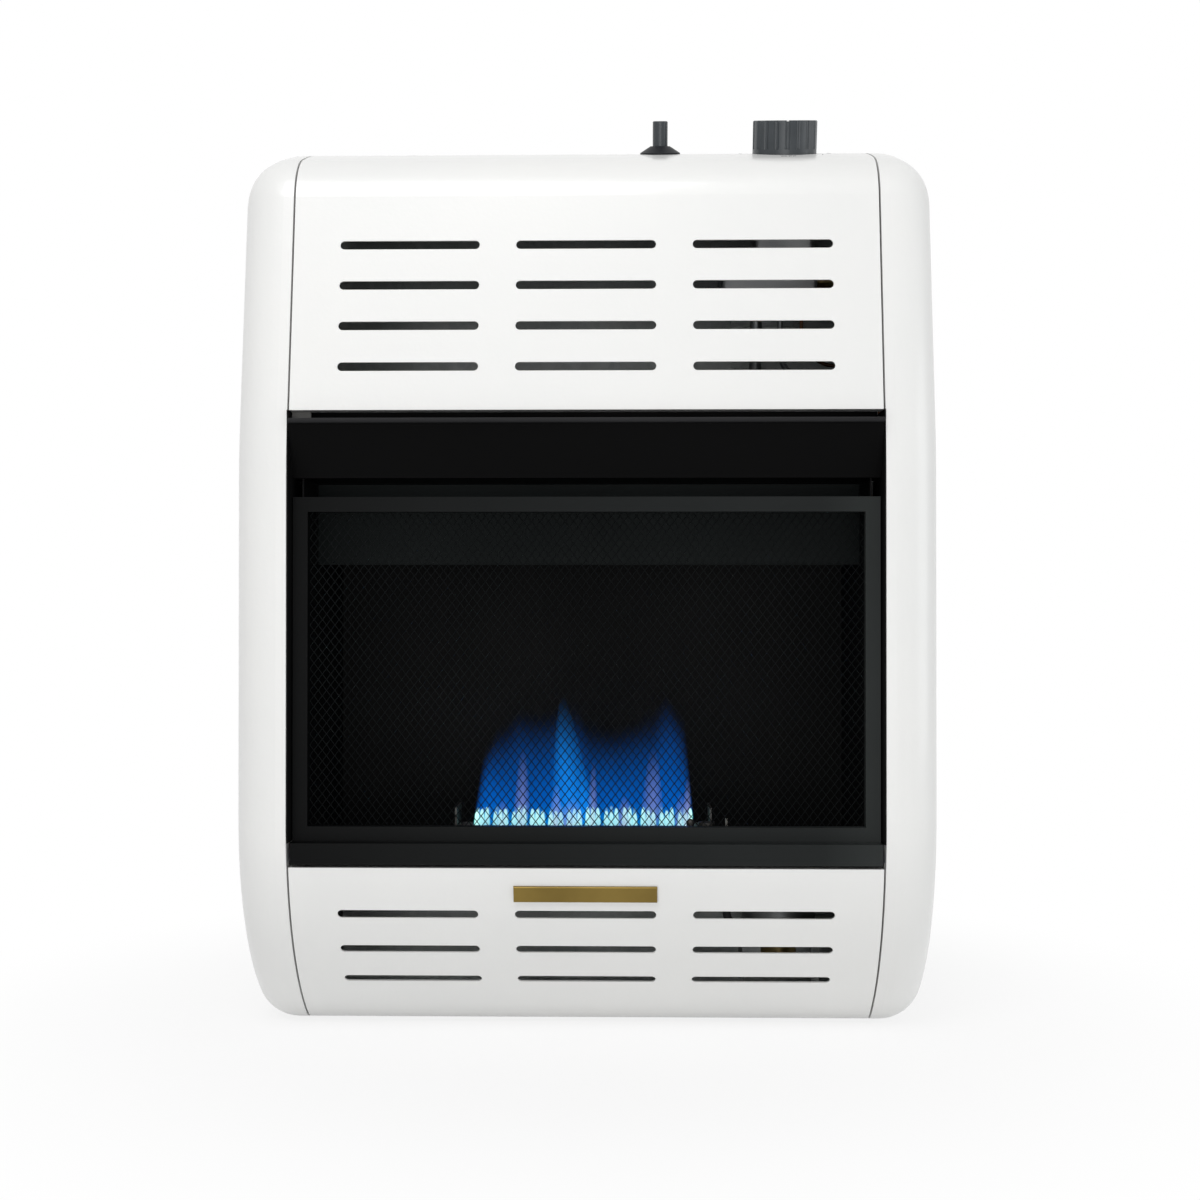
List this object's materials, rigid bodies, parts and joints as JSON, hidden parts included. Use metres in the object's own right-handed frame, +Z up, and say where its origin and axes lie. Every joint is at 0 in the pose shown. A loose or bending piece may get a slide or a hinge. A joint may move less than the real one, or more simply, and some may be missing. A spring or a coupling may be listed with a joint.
{
  "type": "ventless gas heater",
  "caption": "Wall heater with a bowed white steel cabinet, slotted front panels, a black meshed firebox over a gas burner, and a knob and push igniter on its sloping top.",
  "frame": {"origin": "under the middle of the whole object, on the plane that it stands on", "axes": "+X to the right seen from the front, +Y towards the wall, +Z up"},
  "size_m": [0.426, 0.21, 0.5805],
  "materials": {
    "white_enamel": "gloss enamel with a faint orange peel",
    "firebox_black": "satin high temperature black",
    "guard_black": "satin black",
    "inner_steel": "galvanised",
    "burner_steel": "heat tinted steel",
    "cast_valve": "die cast",
    "tube_aluminium": "drawn, satin",
    "fitting_brass": "machined",
    "badge_brass": "polished, plain",
    "knob_black": "satin moulded",
    "ceramic_white": "glazed ceramic",
    "lead_cover": "silicone",
    "copper_lead": "drawn copper",
    "screw_steel": "zinc plated"
  },
  "bodies": {
    "root": {"left_side_panel": "white_enamel", "right_side_panel": "white_enamel", "upper_front_panel": "white_enamel", "lower_front_panel": "white_enamel", "badge_bar": "badge_brass", "back_panel": "inner_steel", "bottom_pan": "inner_steel", "wall_bracket": "inner_steel", "valve_bracket": "inner_steel", "injector_bracket": "inner_steel", "regulator_saddle": "inner_steel", "bulb_clips": "inner_steel", "back_screws": "screw_steel", "heat_deflector": "guard_black", "sill_rail": "guard_black", "guard_top_bar": "guard_black", "guard_bottom_bar": "guard_black", "guard_left_bar": "guard_black", "guard_right_bar": "guard_black", "guard_mesh": "guard_black", "firebox_left_wall": "firebox_black", "firebox_right_wall": "firebox_black", "firebox_back": "firebox_black", "firebox_roof": "firebox_black", "firebox_front_floor": "firebox_black", "firebox_rear_floor": "firebox_black", "firebox_baffle": "firebox_black", "burner_body": "burner_steel", "burner_left_bracket": "burner_steel", "burner_right_bracket": "burner_steel", "venturi": "burner_steel", "pilot_plate": "burner_steel", "thermocouple_probe": "burner_steel", "injector": "fitting_brass", "pilot_burner": "fitting_brass", "tube_nuts": "fitting_brass", "inlet_fitting": "fitting_brass", "spark_electrode": "ceramic_white", "igniter_body": "knob_black", "igniter_bezel": "knob_black", "regulator_cap": "knob_black", "valve_body": "cast_valve", "regulator_body": "cast_valve", "thermostat_bulb": "copper_lead", "capillary_tube": "copper_lead", "thermocouple_lead": "copper_lead", "ignition_lead": "lead_cover", "supply_tube": "tube_aluminium", "main_gas_tube": "tube_aluminium", "pilot_tube": "tube_aluminium"},
    "plunger": {"valve_push_pin": "fitting_brass"},
    "knob": {"control_knob": "knob_black", "valve_stem": "fitting_brass"},
    "igniter": {"igniter_button": "knob_black"}
  },
  "joints": [
    {"name": "knob_push", "type": "slide", "parent": "root", "child": "plunger", "axis": [0, 0.2815, -0.9596], "range_m": [0, 0.0045], "stiffness_N_per_m": 3000, "springref_m": -0.002},
    {"name": "knob_turn", "type": "hinge", "parent": "plunger", "child": "knob", "pos_m": [0.126, -0.02, 0.55532], "axis": [0, -0.2815, 0.9596], "range_deg": [0, 250]},
    {"name": "igniter_push", "type": "slide", "parent": "root", "child": "igniter", "axis": [0, 0.2815, -0.9596], "range_m": [0, 0.008], "stiffness_N_per_m": 1500, "springref_m": -0.003}
  ]
}
